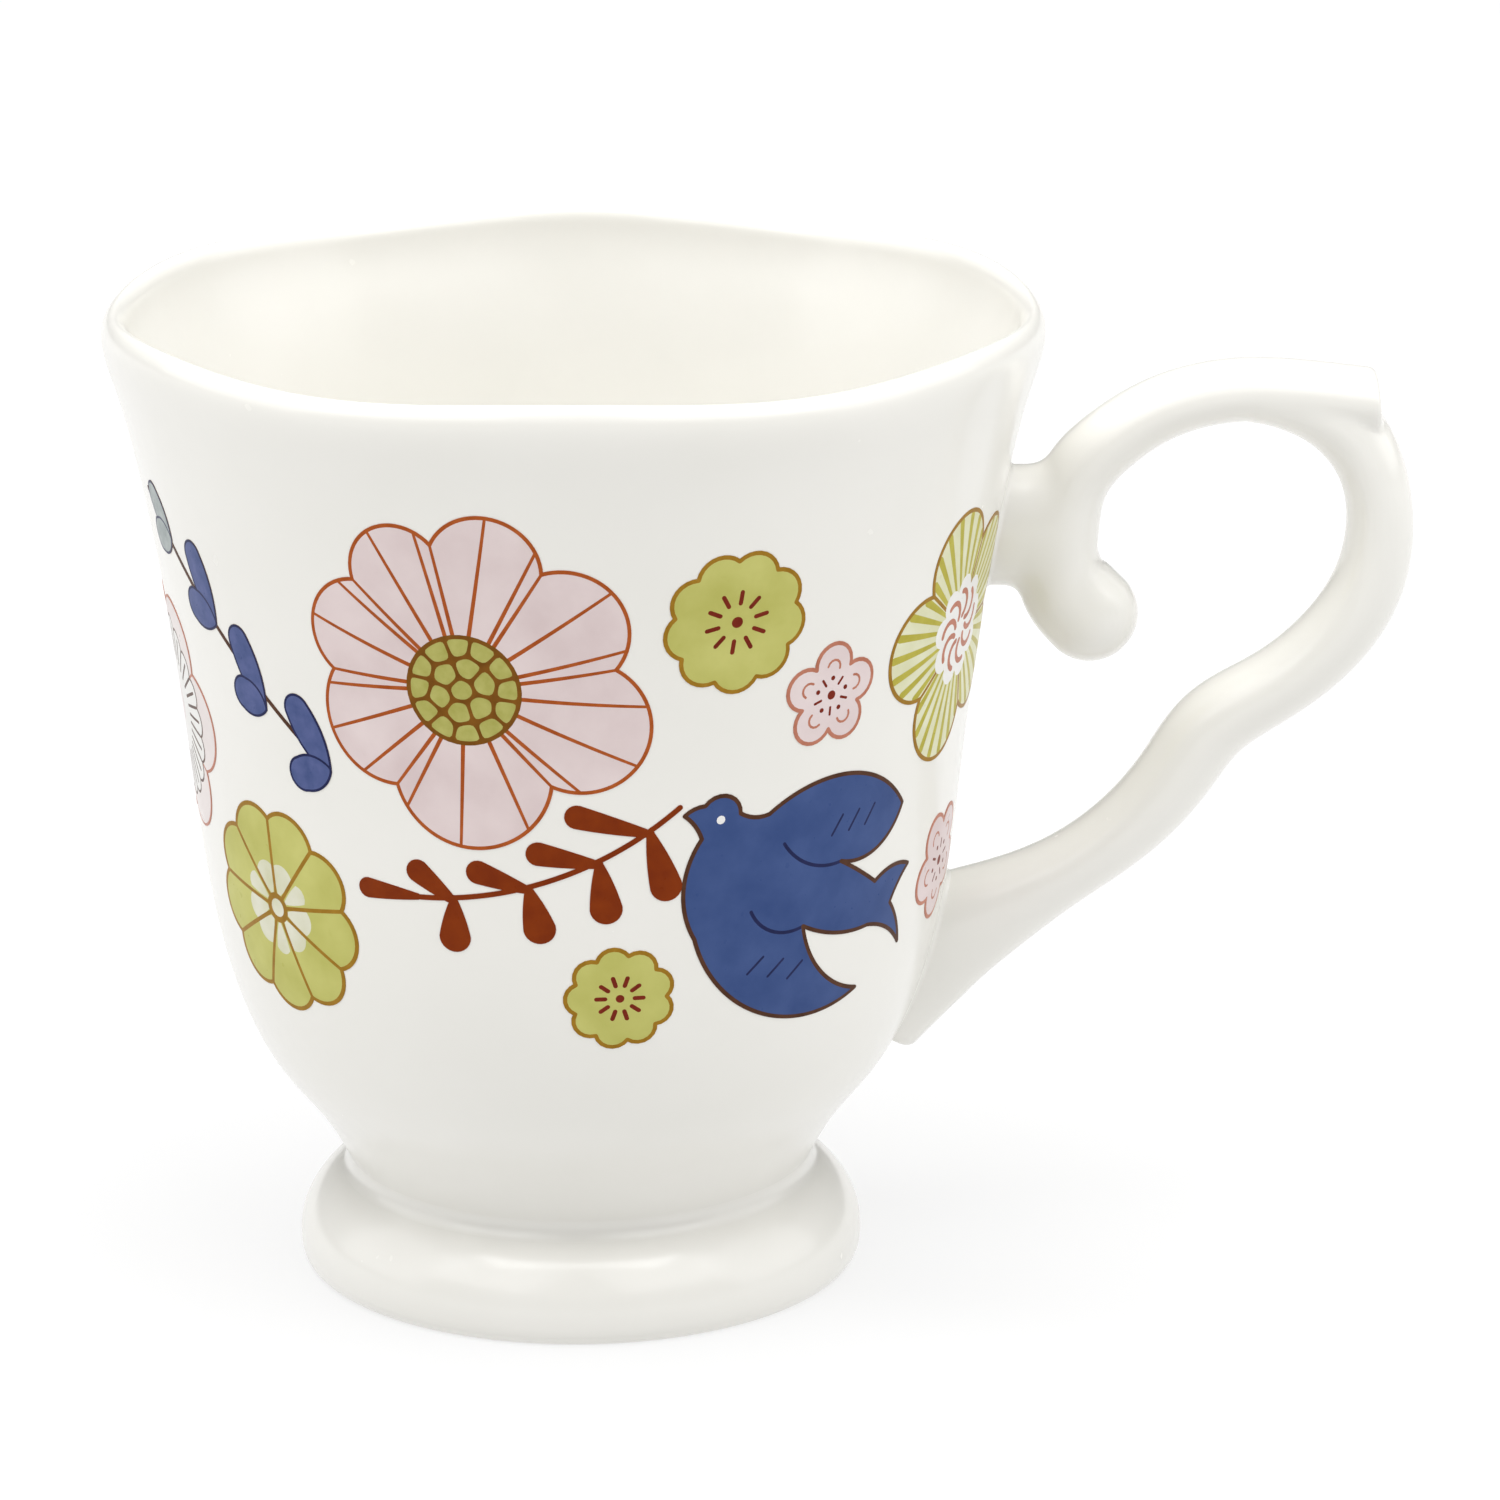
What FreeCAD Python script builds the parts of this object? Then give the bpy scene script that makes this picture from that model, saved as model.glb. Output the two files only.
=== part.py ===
import FreeCAD, Part
import math
import os

# Footed porcelain teacup with a scroll handle and ceramic transfers.
# Millimetres, +Z up, origin at the centre of the foot's resting plane.
# The handle points along +X.  Azimuth is measured from +X towards +Y.

# ------------------------------------------------------------ driving sizes
rim_radius = 44.0
rim_height = 93.95
rim_wave = 0.38            # the lip rises and falls by this much
rim_wave_count = 6
rim_wave_start = 86.0      # the wall is truly round below this height
base_height = 10.0         # underside of the bowl
base_radius = 22.0
floor_height = 13.6        # drinking floor inside the bowl
floor_flat_radius = 8.0

foot_top_radius = 21.9
foot_bore_radius = 17.8
ring_outer_radius = 26.0   # unglazed ring that rests on the table
ring_inner_radius = 22.8
slip_thickness = 0.4       # cured slip between two luted parts

transfer_thickness = 0.08
transfer_sector = 100.0    # degrees of wall that a transfer is cut from
cutter_start = 15.0        # cutters through the wall start this far from the axis
cutter_reach = 40.0        # and are this long

columns = 48               # control columns around the bowl

# Wall outline as (radius, height), from the base up and over the lip.
outer_wall = [
    (base_radius, base_height),
    (25.4, 16.0),
    (29.3, 21.0),
    (32.3, 27.0),
    (34.9, 37.0),
    (36.8, 52.0),
    (38.6, 66.0),
    (40.9, 79.0),
    (43.0, 87.4),
]
lip = [
    (rim_radius, rim_height - 2.4),
    (rim_radius - 0.25, rim_height - 0.8),
    (rim_radius - 1.1, rim_height),
    (rim_radius - 2.0, rim_height - 0.6),
    (rim_radius - 2.45, rim_height - 2.0),
]
inner_wall = [
    (40.2, 87.0),
    (38.0, 78.5),
    (35.8, 66.0),
    (33.9, 52.0),
    (31.8, 37.5),
    (29.0, 28.5),
    (25.5, 21.8),
    (20.5, 16.8),
    (14.5, 14.2),
    (floor_flat_radius, floor_height),
]

# Handle stations as (x, z, half height of the section, half width along Y).
scroll_stations = [
    (48.5, 63.8, 4.6, 4.1),
    (46.0, 67.1, 4.2, 4.0),
    (45.6, 69.8, 3.7, 4.0),
    (45.9, 72.6, 3.4, 4.0),
    (47.0, 76.9, 3.3, 4.0),
    (50.1, 80.5, 3.15, 4.0),
    (54.6, 83.5, 3.0, 4.0),
    (61.5, 85.4, 2.95, 4.0),
    (69.0, 85.2, 2.95, 4.0),
    (74.9, 84.5, 2.95, 3.9),
]
strap_stations = [
    (64.5, 84.6, 2.2, 3.6),
    (69.1, 83.6, 2.9, 3.8),
    (72.5, 81.6, 3.3, 3.9),
    (74.8, 77.9, 3.15, 4.0),
    (75.7, 71.3, 3.2, 4.0),
    (74.6, 66.3, 3.4, 4.0),
    (71.0, 60.8, 3.5, 4.0),
    (65.3, 56.2, 3.5, 4.0),
    (60.3, 52.8, 3.7, 4.0),
    (57.0, 48.2, 3.65, 4.0),
    (51.8, 42.3, 3.4, 4.0),
    (46.1, 38.2, 3.45, 4.0),
    (39.6, 34.5, 4.7, 4.0),
    (33.2, 30.6, 6.1, 3.8),
    (27.5, 23.7, 5.5, 3.0),
]
section_spacing = 3.0      # from one oval section of the handle to the next
stub_height = 72.4         # middle of the stub where the handle leaves the bowl
stub_half_height = 5.8
stub_half_width = 4.3

# Oval of bare wall kept round the upper joint: height, half height, half width.
upper_joint_clearance = (stub_height, stub_half_height + 0.6, stub_half_width + 0.6)


# ------------------------------------------------------------ helpers
def point(radius, height):
    """A point of the wall's outline, drawn in the half plane y = 0."""
    return FreeCAD.Vector(radius, 0, height)


def wall_curve():
    """The closed-over wall outline: outside, lip and inside as one curve."""
    curve = Part.BSplineCurve()
    outline = [point(*p) for p in outer_wall + lip + inner_wall]
    curve.interpolate(
        Points=outline,
        InitialTangent=FreeCAD.Vector(2.0, 0, 4.0),
        FinalTangent=FreeCAD.Vector(-6.0, 0, 0),
    )
    return curve


def outer_stretch(low, high):
    """The outside of the wall between two heights, as its own curve."""
    curve = wall_curve()
    start = curve.parameter(point(*outer_wall[0]))
    turn = curve.parameter(point(*lip[0]))

    def parameter_at(height):
        below, above = start, turn
        for _ in range(50):
            middle = (below + above) / 2
            if curve.value(middle).z < height:
                below = middle
            else:
                above = middle
        return below

    curve.segment(parameter_at(low), parameter_at(high))
    return curve


def wall_skin(low, high, inside, outside, azimuth, sector):
    """A shell over the outside of the wall, between two offsets from it."""
    inner = outer_stretch(low, high)
    outer = outer_stretch(low, high)
    inner.translate(FreeCAD.Vector(inside, 0, 0))
    outer.translate(FreeCAD.Vector(outside, 0, 0))
    section = Part.Wire([
        inner.toShape(),
        Part.LineSegment(inner.EndPoint, outer.EndPoint).toShape(),
        outer.toShape(),
        Part.LineSegment(outer.StartPoint, inner.StartPoint).toShape(),
    ])
    face = Part.Face(section)
    face.rotate(FreeCAD.Vector(), FreeCAD.Vector(0, 0, 1), azimuth - sector / 2)
    return face.revolve(FreeCAD.Vector(), FreeCAD.Vector(0, 0, 1), sector)


def radius_at(height):
    """Outer radius of the wall at a height."""
    return outer_stretch(base_height + 0.5, height).EndPoint.x


def whole(shape):
    """The single clean solid in a boolean's result."""
    tidy = shape.removeSplitter()
    solids = sorted(tidy.Solids, key=lambda s: s.Volume)
    return solids[-1]


def ring(points, rounded):
    """A solid of revolution from a closed outline; rounded maps an edge to its mid-point."""
    edges = []
    for index, start in enumerate(points):
        end = points[(index + 1) % len(points)]
        if index in rounded:
            edge = Part.Arc(point(*start), point(*rounded[index]), point(*end))
        else:
            edge = Part.LineSegment(point(*start), point(*end))
        edges.append(edge.toShape())
    face = Part.Face(Part.Wire(edges))
    return Part.Solid(face.revolve(FreeCAD.Vector(), FreeCAD.Vector(0, 0, 1), 360))


# ------------------------------------------------------------ bowl
def lift(height, azimuth):
    """How far the waved lip stands above its mean height."""
    share = (height - rim_wave_start) / (rim_height - rim_wave_start)
    share = min(max(share, 0.0), 1.0)
    return -rim_wave * share * math.cos(rim_wave_count * azimuth)


def make_bowl():
    curve = wall_curve()
    spread = (2 + math.cos(2 * math.pi / columns)) / 3
    poles = []
    for column in range(columns):
        azimuth = 2 * math.pi * column / columns
        reach = 1 / spread
        poles.append([
            FreeCAD.Vector(
                p.x * reach * math.cos(azimuth),
                p.x * reach * math.sin(azimuth),
                p.z + lift(p.z, azimuth),
            )
            for p in curve.getPoles()
        ])
    surface = Part.BSplineSurface()
    surface.buildFromPolesMultsKnots(
        poles,
        [1] * (columns + 1),
        curve.getMultiplicities(),
        [float(knot) for knot in range(columns + 1)],
        curve.getKnots(),
        True,
        False,
        3,
        3,
    )
    skin = surface.toShape()
    faces = [skin]
    for edge in skin.Edges:
        box = edge.BoundBox
        if edge.isClosed() and box.ZLength < 1e-6:
            faces.append(Part.Face(Part.Wire(edge)))
    shell = Part.makeShell(faces)
    shell.sewShape()
    bowl = Part.Solid(shell)
    if bowl.Volume < 0:
        bowl.reverse()
    return bowl


# ------------------------------------------------------------ foot
def make_foot():
    top = base_height - slip_thickness
    outline = [
        (ring_inner_radius, 0.0),
        (ring_outer_radius, 0.0),
        (27.0, 1.5),
        (26.1, 6.0),
        (foot_top_radius, top),
        (foot_bore_radius, top),
        (19.4, 6.4),
    ]
    rounded = {
        1: (26.75, 0.45),
        2: (27.0, 3.9),
        3: (24.4, 8.1),
        5: (18.3, 7.8),
        6: (21.6, 3.6),
    }
    return ring(outline, rounded)


def make_foot_slip():
    top = base_height
    low = base_height - slip_thickness
    outline = [
        (foot_bore_radius + 0.2, low),
        (foot_top_radius, low),
        (base_radius, top),
        (foot_bore_radius + 0.2, top),
    ]
    return ring(outline, {1: (base_radius - 0.1, (low + top) / 2)})


# ------------------------------------------------------------ handle
def section(oval, tangent):
    """An oval section across the handle, as a closed wire."""
    x, z, half_height, half_width = oval
    across = FreeCAD.Vector(-tangent.z, 0, tangent.x)
    place = FreeCAD.Matrix(
        across.x * half_height, 0, tangent.x, x,
        0, half_width, 0, 0,
        across.z * half_height, 0, tangent.z, z,
        0, 0, 0, 1,
    )
    circle = Part.Circle(FreeCAD.Vector(), FreeCAD.Vector(0, 0, 1), 1.0).toShape()
    return Part.Wire(circle.transformGeometry(place))


def strap(stations):
    """A solid strap of evenly spaced oval sections along a smooth line through the stations."""
    reach = [0.0]
    for before, after in zip(stations, stations[1:]):
        reach.append(reach[-1] + math.dist(before[:2], after[:2]))
    centreline = Part.BSplineCurve()
    centreline.interpolate(
        Points=[FreeCAD.Vector(x, 0, z) for x, z, _, _ in stations],
        Parameters=reach,
    )
    size = Part.BSplineCurve()
    size.interpolate(
        Points=[FreeCAD.Vector(s[2], s[3], along) for s, along in zip(stations, reach)],
        Parameters=reach,
    )
    count = round(reach[-1] / section_spacing)
    wires = []
    for index in range(count + 1):
        along = reach[-1] * index / count
        centre = centreline.value(along)
        half_height, half_width, _ = size.value(along)
        oval = (centre.x, centre.z, half_height, half_width)
        wires.append(section(oval, centreline.tangent(along)[0]))
    return Part.makeLoft(wires, True, False)


def handle_blank():
    """The cast handle before its ends are cut to the wall."""
    stub_stations = [
        (34.0, stub_height, stub_half_height, stub_half_width),
        (40.0, stub_height, stub_half_height, stub_half_width),
        (43.5, stub_height, stub_half_height * 0.93, stub_half_width),
        (46.4, stub_height, stub_half_height * 0.8, stub_half_width * 0.9),
    ]
    tip_x, tip_z, tip_radius, _ = scroll_stations[0]
    tip = Part.makeSphere(tip_radius, FreeCAD.Vector(tip_x, 0, tip_z))
    return strap(scroll_stations).multiFuse([
        strap(strap_stations),
        strap(stub_stations),
        tip,
    ])


def filled_wall(offset):
    """The bowl's outside as a filled solid, grown sideways by an offset."""
    outer = outer_stretch(base_height + 0.5, rim_wave_start)
    outer.translate(FreeCAD.Vector(offset, 0, 0))
    top = FreeCAD.Vector(0, 0, outer.EndPoint.z)
    bottom = FreeCAD.Vector(0, 0, outer.StartPoint.z)
    outline = Part.Wire([
        outer.toShape(),
        Part.LineSegment(outer.EndPoint, top).toShape(),
        Part.LineSegment(top, bottom).toShape(),
        Part.LineSegment(bottom, outer.StartPoint).toShape(),
    ])
    face = Part.Face(outline)
    return Part.Solid(face.revolve(FreeCAD.Vector(), FreeCAD.Vector(0, 0, 1), 360))


def make_handle_and_slip():
    """The handle, and the thin layer of slip between each of its ends and the wall."""
    blank = handle_blank()
    handle = whole(blank.cut(filled_wall(slip_thickness)))
    ends = blank.common(filled_wall(slip_thickness)).cut(filled_wall(0))
    layers = sorted(ends.Solids, key=lambda s: s.CenterOfMass.z)
    return handle, layers[0], layers[-1]


# ------------------------------------------------------------ transfers
def on_wall(across, up, wall_radius):
    """A transfer is drawn flat, then bends round the wall without stretching."""
    return FreeCAD.Vector(wall_radius * math.sin(across / wall_radius), up, 0)


def polar(radius, degrees):
    angle = math.radians(degrees)
    return (radius * math.cos(angle), radius * math.sin(angle))


def outline_wire(corners, middles, wall_radius):
    """A closed wire of arcs; middles[i] is the arc's mid-point after corners[i]."""
    edges = []
    for index, corner in enumerate(corners):
        start = on_wall(*corner, wall_radius)
        middle = on_wall(*middles[index], wall_radius)
        end = on_wall(*corners[(index + 1) % len(corners)], wall_radius)
        edges.append(Part.Arc(start, middle, end).toShape())
    return Part.Wire(edges)


def flower(petals):
    """A flower from petals, each (start angle, start radius, tip angle, tip radius)."""
    corners = [polar(start_radius, start) for start, start_radius, _, _ in petals]
    middles = [polar(tip_radius, tip) for _, _, tip, tip_radius in petals]
    return [(corners, middles)]


def even_flower(radius, notch_radius, count, turn):
    """A flower of equal petals, the first one starting at the angle turn."""
    step = 360 / count
    return flower([
        (turn + step * petal, notch_radius, turn + step * (petal + 0.5), radius)
        for petal in range(count)
    ])


def leaf(base, tip, width, fullness):
    """A leaf, narrow at its base and round at its tip; fullness is its half-way width over its width."""
    along = (tip[0] - base[0], tip[1] - base[1])
    length = math.hypot(*along)
    ahead = (along[0] / length, along[1] / length)
    side = (-ahead[1], ahead[0])

    def place(distance, offset):
        return (
            base[0] + ahead[0] * distance + side[0] * offset,
            base[1] + ahead[1] * distance + side[1] * offset,
        )

    half = width / 2
    neck = 0.3
    shoulder = length - half
    corners = [
        place(-neck, -neck),
        place(shoulder, -half),
        place(shoulder, half),
        place(-neck, neck),
    ]
    middles = [
        place(shoulder * 0.5, -half * fullness),
        place(length, 0),
        place(shoulder * 0.5, half * fullness),
        place(-neck * 1.4, 0),
    ]
    return (corners, middles)


def stem(start, bend, end, width):
    """A thin curved ribbon through three points."""
    along = (end[0] - start[0], end[1] - start[1])
    length = math.hypot(*along)
    side = (-along[1] / length * width / 2, along[0] / length * width / 2)

    def shifted(spot, sign):
        return (spot[0] + sign * side[0], spot[1] + sign * side[1])

    corners = [shifted(start, -1), shifted(end, -1), shifted(end, 1), shifted(start, 1)]
    middles = [
        shifted(bend, -1),
        (end[0] + along[0] / length * width / 2, end[1] + along[1] / length * width / 2),
        shifted(bend, 1),
        (start[0] - along[0] / length * width / 2, start[1] - along[1] / length * width / 2),
    ]
    return (corners, middles)


def rust_sprig():
    """Paired club leaves on a sagging stem; its right end is at the bird's beak."""
    pieces = [stem((15.1, 5.6), (1.4, -1.7), (-14.5, -3.4), 0.8)]
    pairs = [
        ((12.3, 3.2), (4.6, 5.4), (14.0, -3.4)),
        ((7.6, 0.4), (1.0, 1.7), (8.3, -5.4)),
        ((1.2, -2.1), (-4.5, -0.2), (2.4, -7.3)),
        ((-5.8, -3.6), (-10.1, -0.3), (-5.8, -8.6)),
    ]
    for base, upper, lower in pairs:
        pieces.append(leaf(base, upper, 2.3, 0.72))
        pieces.append(leaf(base, lower, 3.0, 0.72))
    pieces.append(leaf((-9.5, -3.5), (-15.4, -3.3), 2.0, 0.72))
    return pieces


def blue_sprig():
    """Paired leaves on a falling stem."""
    pieces = [stem((-13.5, 12.2), (-0.4, 0.6), (11.7, -9.6), 0.8)]
    pairs = [
        ((-9.0, 8.3), (-12.6, 12.9), (-13.3, 8.0)),
        ((-1.9, 1.9), (-4.4, 9.2), (-6.6, 3.4)),
        ((4.3, -5.0), (1.4, 2.3), (0.2, -3.6)),
        ((11.6, -9.6), (8.2, -3.0), (7.0, -11.0)),
    ]
    for base, upper, lower in pairs:
        pieces.append(leaf(base, upper, 3.0, 1.0))
        pieces.append(leaf(base, lower, 3.2, 1.0))
    return pieces


def flying_bird():
    """A plain dove in flight, facing left."""
    corners = [
        (-13.8, 8.6),
        (-11.9, 9.4),
        (-8.4, 8.3),
        (-5.4, 7.8),
        (11.6, 5.4),
        (3.2, 1.6),
        (8.2, -1.6),
        (13.6, -1.2),
        (10.9, -4.4),
        (13.2, -9.0),
        (7.6, -5.8),
        (-0.8, -4.0),
        (7.0, -12.0),
        (-12.0, -3.6),
        (-12.0, 6.2),
    ]
    middles = [
        (-12.9, 9.2),
        (-10.0, 10.2),
        (-6.9, 7.7),
        (0.9, 10.2),
        (8.8, 2.2),
        (6.0, -0.1),
        (11.1, -0.7),
        (12.0, -2.7),
        (12.4, -6.6),
        (10.6, -6.8),
        (3.6, -5.6),
        (2.0, -9.2),
        (-5.4, -11.6),
        (-13.4, 1.2),
        (-12.7, 7.5),
    ]
    return [(corners, middles)]


def transfer_solid(pieces, azimuth, height):
    """One printed transfer: its outline cut from a thin skin over the wall."""
    wall_radius = radius_at(height)
    prism = None
    for corners, middles in pieces:
        face = Part.Face(outline_wire(corners, middles, wall_radius))
        bar = face.extrude(FreeCAD.Vector(0, 0, cutter_reach))
        prism = bar if prism is None else prism.fuse(bar)
    turn = math.radians(azimuth)
    place = FreeCAD.Matrix(
        -math.sin(turn), 0, math.cos(turn), cutter_start * math.cos(turn),
        math.cos(turn), 0, math.sin(turn), cutter_start * math.sin(turn),
        0, 1, 0, height,
        0, 0, 0, 1,
    )
    prism = prism.transformGeometry(place)
    box = prism.BoundBox
    low = max(box.ZMin - 1.0, base_height + 2)
    high = min(box.ZMax + 1.0, rim_wave_start)
    skin = wall_skin(low, high, 0, transfer_thickness, azimuth, transfer_sector)
    return whole(skin.common(prism).cut(oval_bar(*upper_joint_clearance)))


def oval_bar(height, half_height, half_width):
    """An oval bar along +X, as wide as the upper handle joint and its margin."""
    place = FreeCAD.Matrix(
        0, 0, 1, cutter_start,
        half_width, 0, 0, 0,
        0, half_height, 0, height,
        0, 0, 0, 1,
    )
    circle = Part.Circle(FreeCAD.Vector(), FreeCAD.Vector(0, 0, 1), 1.0).toShape()
    face = Part.Face(Part.Wire(circle.transformGeometry(place)))
    return face.extrude(FreeCAD.Vector(cutter_reach, 0, 0))


# The big flower is drawn by hand, so its petals differ in width and reach.
big_petals = [
    (9, 14.0, 34, 16.9),
    (56, 13.8, 80, 17.0),
    (99, 14.0, 118, 16.8),
    (136, 14.0, 154, 15.9),
    (177, 12.8, 209, 14.3),
    (235, 11.9, 272, 15.3),
    (310, 11.8, 340, 17.2),
]

motifs = {
    "big_flower": flower(big_petals),
    "scalloped_blossom": even_flower(6.75, 5.9, 9, 12),
    "small_scalloped_blossom": even_flower(5.0, 4.3, 9, 0),
    "five_petal_blossom": even_flower(5.0, 3.3, 5, 54),
    "edge_blossom": even_flower(5.6, 3.9, 5, 18),
    "striped_flower": even_flower(12.4, 8.4, 5, 74),
    "pale_flower": even_flower(12.0, 9.4, 6, 30),
    "nine_petal_flower": even_flower(10.1, 8.8, 9, 10),
    "leaf_sprig": rust_sprig(),
    "blue_sprig": blue_sprig(),
    "bird": flying_bird(),
}

# Each transfer as (name, motif, azimuth, height).
front_transfers = [
    ("pink_flower", "big_flower", -103.6, 67.0),
    ("green_blossom", "scalloped_blossom", -67.4, 73.0),
    ("small_pink_blossom", "five_petal_blossom", -51.8, 64.4),
    ("striped_flower", "striped_flower", -22.5, 66.4),
    ("low_pink_blossom", "edge_blossom", -17.5, 42.7),
    ("blue_bird", "bird", -52.2, 46.0),
    ("rust_sprig", "leaf_sprig", -97.4, 49.9),
    ("small_green_blossom", "small_scalloped_blossom", -82.4, 37.0),
    ("green_flower", "nine_petal_flower", -139.4, 42.0),
    ("blue_sprig", "blue_sprig", -143.4, 67.0),
    ("pale_flower", "pale_flower", -170.5, 57.0),
]
back_transfers = [
    ("pink_flower", "big_flower", 76.4, 67.0),
    ("green_blossom", "scalloped_blossom", 112.6, 73.0),
    ("small_pink_blossom", "five_petal_blossom", 128.2, 64.4),
    ("striped_flower", "striped_flower", 153.5, 67.4),
    ("low_pink_blossom", "edge_blossom", 159.0, 42.7),
    ("blue_bird", "bird", 127.4, 45.6),
    ("rust_sprig", "leaf_sprig", 82.2, 49.9),
    ("small_green_blossom", "small_scalloped_blossom", 97.6, 37.0),
    ("green_flower", "nine_petal_flower", 40.6, 42.0),
    ("blue_sprig", "blue_sprig", 36.6, 67.0),
]


def make_transfers():
    solids = {}
    for side, transfers in (("front", front_transfers), ("back", back_transfers)):
        for name, motif, azimuth, height in transfers:
            solid = transfer_solid(motifs[motif], azimuth, height)
            solids[f"transfer_{side}_{name}"] = solid
    return solids


# ------------------------------------------------------------ write
def make_all():
    handle, lower_slip, upper_slip = make_handle_and_slip()
    nodes = {
        "bowl": make_bowl(),
        "foot": make_foot(),
        "handle": handle,
        "foot_joint_slip": make_foot_slip(),
        "upper_handle_joint_slip": upper_slip,
        "lower_handle_joint_slip": lower_slip,
    }
    nodes.update(make_transfers())
    return nodes


os.makedirs("parts", exist_ok=True)
for node, shape in make_all().items():
    print(f"{node}: {shape.Volume:.2f} mm3, {len(shape.Solids)} solid, valid {shape.isValid()}")
    shape.exportStep(f"parts/{node}.step")
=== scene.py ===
import math

import bpy
import numpy as np
import openvdb
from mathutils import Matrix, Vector, geometry


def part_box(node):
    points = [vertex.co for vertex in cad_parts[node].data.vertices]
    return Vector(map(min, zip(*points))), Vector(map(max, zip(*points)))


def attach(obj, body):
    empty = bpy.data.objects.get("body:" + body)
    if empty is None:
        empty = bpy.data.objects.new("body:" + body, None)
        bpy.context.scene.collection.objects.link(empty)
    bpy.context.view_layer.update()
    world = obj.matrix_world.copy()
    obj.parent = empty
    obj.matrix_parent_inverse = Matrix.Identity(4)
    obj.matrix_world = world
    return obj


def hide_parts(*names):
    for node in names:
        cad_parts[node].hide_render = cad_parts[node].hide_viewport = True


# Looks for the footed porcelain teacup.  Shapes are worked out in millimetres
# in the part's own frame and turned into metres when a mesh is made.

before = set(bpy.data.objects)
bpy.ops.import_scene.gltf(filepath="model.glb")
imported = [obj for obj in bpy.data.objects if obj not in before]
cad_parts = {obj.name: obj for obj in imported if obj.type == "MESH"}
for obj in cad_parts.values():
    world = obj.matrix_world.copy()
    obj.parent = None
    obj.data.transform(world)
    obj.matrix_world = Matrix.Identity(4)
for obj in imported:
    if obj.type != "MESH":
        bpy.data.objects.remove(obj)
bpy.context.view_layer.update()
bowl_low, bowl_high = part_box("bowl")
foot_low, foot_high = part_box("foot")

MM = 0.001

# ------------------------------------------------------------ driving sizes, mm
rim_radius = (bowl_high[0] - bowl_low[0]) / 2 / MM
rim_wave = 0.35
rim_height = bowl_high[2] / MM - rim_wave
rim_wave_count = 6
rim_wave_start = 84.0
base_height = bowl_low[2] / MM
base_radius = 22.0
floor_height = 13.6
floor_flat_radius = 8.0
foot_top = foot_high[2] / MM
foot_radius = (foot_high[0] - foot_low[0]) / 2 / MM

around = 288               # columns of a round mesh
wall_rows = 12             # rows of the bowl's mesh between two outline points
fine_rows = 60             # rows where an outline serves to measure distances
station_rows = 40          # rows of the handle's centreline between two stations
voxel = 0.3                # handle mesh
field_band = 3.0           # distances beyond this aren't needed for the handle mesh
embed = 0.5                # how far the handle reaches into the wall
joint_fillet = 0.6         # slip fillet round each end of the handle
foot_fillet = 1.7          # slip fillet between the bowl and the foot
print_top = 0.05           # a fired print stands this proud of the glaze
print_root = 0.03          # and its sides reach this far into it
print_grid = 1.1           # spacing of the points that bend a print round the wall
resting_depth = 0.12       # the foot is bare up to this height

outer_wall = [
    (base_radius, base_height),
    (25.4, 16.0),
    (29.3, 21.0),
    (32.3, 27.0),
    (34.9, 37.0),
    (36.8, 52.0),
    (38.6, 66.0),
    (40.9, 79.0),
    (43.0, 87.4),
]
lip = [
    (rim_radius, rim_height - 2.4),
    (rim_radius - 0.25, rim_height - 0.8),
    (rim_radius - 1.1, rim_height),
    (rim_radius - 2.0, rim_height - 0.6),
    (rim_radius - 2.45, rim_height - 2.0),
]
inner_wall = [
    (40.2, 87.0),
    (38.0, 78.5),
    (35.8, 66.0),
    (33.9, 52.0),
    (31.8, 37.5),
    (29.0, 28.5),
    (25.5, 21.8),
    (20.5, 16.8),
    (14.5, 14.2),
    (floor_flat_radius, floor_height),
]
foot_outside = [
    (26.0, 0.0),
    (26.7, 0.45),
    (foot_radius, 2.0),
    (26.95, 4.0),
    (26.1, 6.0),
    (24.3, 8.1),
    (21.9, foot_top),
]
foot_inside = [
    (17.8, foot_top),
    (18.3, 7.8),
    (19.4, 6.4),
    (21.6, 3.4),
    (22.6, 0.9),
    (22.9, 0.0),
]

# The layer of slip between foot and bowl: the hollow arc that is seen from below, then its hidden side.
slip_layer_arc = [
    (17.2, base_height + 0.1),
    (17.72, base_height - 0.28),
    (18.0, foot_top - 0.5),
]
slip_layer_hidden = [
    (18.6, foot_top - 0.2),
    (21.4, foot_top - 0.2),
    (21.4, base_height + 0.1),
]

# Handle stations as (x, z, half height of the section, half width along Y).
scroll_stations = [
    (48.5, 63.8, 4.6, 4.1),
    (46.0, 67.1, 4.3, 4.0),
    (45.6, 69.8, 3.7, 4.0),
    (45.9, 72.6, 3.4, 4.0),
    (47.0, 76.9, 3.3, 4.0),
    (50.1, 80.5, 3.15, 4.0),
    (54.6, 83.5, 3.0, 4.0),
    (61.5, 85.4, 2.95, 4.0),
    (69.0, 85.2, 2.95, 4.0),
    (74.9, 84.5, 2.95, 3.9),
    (78.0, 84.1, 2.95, 3.9),
]
strap_stations = [
    (64.5, 84.6, 2.2, 3.6),
    (69.1, 83.6, 2.9, 3.8),
    (72.5, 81.6, 3.3, 3.9),
    (74.8, 77.9, 3.15, 4.0),
    (75.7, 71.3, 3.2, 4.0),
    (74.6, 66.3, 3.4, 4.0),
    (71.0, 60.8, 3.5, 4.0),
    (65.3, 56.2, 3.5, 4.0),
    (60.3, 52.8, 3.7, 4.0),
    (57.0, 48.2, 3.65, 4.0),
    (51.8, 42.3, 3.4, 4.0),
    (46.1, 38.2, 3.45, 4.0),
    (39.6, 34.5, 4.7, 4.0),
    (33.2, 30.6, 6.1, 3.8),
    (27.5, 23.7, 5.5, 3.0),
]
stub_height = 72.4
stub_stations = [
    (34.0, stub_height, 5.8, 4.3),
    (39.0, stub_height, 5.8, 4.3),
    (42.4, stub_height, 5.8, 4.2),
]
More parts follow.
